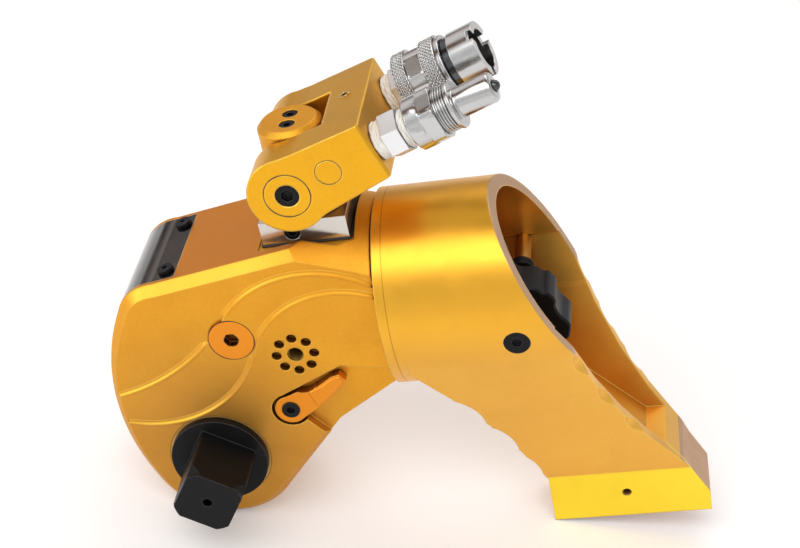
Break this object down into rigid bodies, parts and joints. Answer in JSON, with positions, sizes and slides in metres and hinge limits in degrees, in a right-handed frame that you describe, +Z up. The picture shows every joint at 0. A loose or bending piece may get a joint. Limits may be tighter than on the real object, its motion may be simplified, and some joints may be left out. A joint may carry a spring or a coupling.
{
  "type": "hydraulic torque wrench",
  "caption": "Square-drive hydraulic torque wrench: gold body with sloping top, slant-cut reaction arm with latch, two-axis hose swivel with screw couplers.",
  "frame": {"origin": "middle of the drive's shoulder, where the square end leaves its flange", "axes": "+Z up as the tool stands on its nose and the heel edge of its reaction foot, the square drive along -Y, the reaction arm towards +X"},
  "size_m": [0.2712, 0.11, 0.2289],
  "materials": {
    "gold_body": "gold anodised, satin",
    "gold_arm": "gold anodised, fine satin",
    "gold_small": "orange-gold anodised",
    "polished_guard": "polished",
    "black_steel": "black oxide",
    "black_screws": "black oxide",
    "silver_base": "clear anodised",
    "bright_steel": "ground",
    "plated_steel": "zinc plated",
    "bearing_bronze": "turned",
    "seal_rubber": "matte"
  },
  "bodies": {
    "body": {"housing": "gold_body", "rear_guard": "polished_guard", "guard_screws": "black_screws", "side_plug": "gold_small", "front_bush": "bearing_bronze", "rear_bush": "bearing_bronze", "cylinder_barrel": "gold_small", "rod_gland": "bearing_bronze", "rod_seal": "seal_rubber", "cylinder_cap": "gold_small", "cap_seal": "seal_rubber", "swivel_base": "silver_base", "base_screws": "black_screws", "reaction_arm": "gold_arm", "latch_pin": "bright_steel", "latch_screws": "black_screws", "latch_spring": "bright_steel"},
    "drive": {"square_drive": "black_steel", "ratchet_wheel": "bright_steel", "drive_retainer": "black_steel", "button_spring": "bright_steel"},
    "button": {"release_button": "bright_steel"},
    "ram": {"piston_rod": "bright_steel", "piston": "bright_steel", "piston_seal": "seal_rubber", "rod_pin": "bright_steel"},
    "crank": {"drive_plates": "bright_steel", "drive_pawl_pin": "bright_steel"},
    "drive_pawl": {"drive_pawl": "bright_steel"},
    "lever": {"reaction_pawl": "bright_steel", "release_lever": "gold_small", "lever_screw": "black_screws"},
    "latch": {"arm_latch": "black_steel"},
    "swivel": {"swivel_post": "gold_small", "post_ring": "seal_rubber", "post_plugs": "black_screws"},
    "manifold": {"swivel_manifold": "gold_body", "swivel_pin": "gold_small", "pin_screws": "black_screws", "gallery_plug": "gold_body", "male_nipple": "plated_steel", "male_body": "plated_steel", "female_nipple": "plated_steel", "female_body": "plated_steel", "sleeve_ring": "seal_rubber"},
    "sleeve": {"female_sleeve": "plated_steel"},
    "male_valve": {"male_poppet": "bright_steel"},
    "female_valve": {"female_poppet": "bright_steel"}
  },
  "joints": [
    {"name": "drive_turn", "type": "hinge", "parent": "body", "child": "drive", "pos_m": [0, 0.036, 0], "axis": [0, -1, 0], "continuous": true},
    {"name": "button_push", "type": "slide", "parent": "drive", "child": "button", "axis": [0, -1, 0], "range_m": [0, 0.003], "stiffness_N_per_m": 500, "springref_m": -0.002},
    {"name": "piston_stroke", "type": "slide", "parent": "body", "child": "ram", "axis": [-0.9721, 0, -0.2345], "range_m": [0, 0.026]},
    {"name": "crank_swing", "type": "hinge", "parent": "body", "child": "crank", "pos_m": [0, 0.036, 0], "axis": [0, -1, 0], "range_deg": [0, 24.25]},
    {"name": "drive_pawl_rock", "type": "hinge", "parent": "crank", "child": "drive_pawl", "pos_m": [0.01003, 0.036, 0.03945], "axis": [0, 1, 0], "range_deg": [0, 6], "stiffness_Nm_per_rad": 0.1, "springref_deg": -8.59},
    {"name": "lever_press", "type": "hinge", "parent": "body", "child": "lever", "pos_m": [0.03081, 0.036, 0.03048], "axis": [0, 1, 0], "range_deg": [0, 16], "stiffness_Nm_per_rad": 0.15, "springref_deg": -11.46},
    {"name": "latch_press", "type": "hinge", "parent": "body", "child": "latch", "pos_m": [0.12418, 0.036, 0.08479], "axis": [0, 1, 0], "range_deg": [0, 12], "stiffness_Nm_per_rad": 0.3, "springref_deg": -11.46},
    {"name": "swivel_turn", "type": "hinge", "parent": "body", "child": "swivel", "pos_m": [0.03078, 0.036, 0.12058], "axis": [-0.2345, 0, 0.9721], "continuous": true},
    {"name": "manifold_tilt", "type": "hinge", "parent": "swivel", "child": "manifold", "pos_m": [0.02693, 0.036, 0.13653], "axis": [0, -1, 0], "range_deg": [-20.5, 159.5]},
    {"name": "sleeve_turn", "type": "hinge", "parent": "manifold", "child": "sleeve", "pos_m": [0.07804, 0.056, 0.17108], "axis": [0.8284, 0, 0.5601], "continuous": true},
    {"name": "male_valve_push", "type": "slide", "parent": "manifold", "child": "male_valve", "axis": [-0.8284, 0, -0.5601], "range_m": [0, 0.003], "stiffness_N_per_m": 400, "springref_m": -0.002},
    {"name": "female_valve_push", "type": "slide", "parent": "manifold", "child": "female_valve", "axis": [-0.8284, 0, -0.5601], "range_m": [0, 0.003], "stiffness_N_per_m": 400, "springref_m": -0.002}
  ],
  "couplings": [
    {"joint": "crank_swing", "follows": "piston_stroke", "rad_per_m": 16.28}
  ]
}
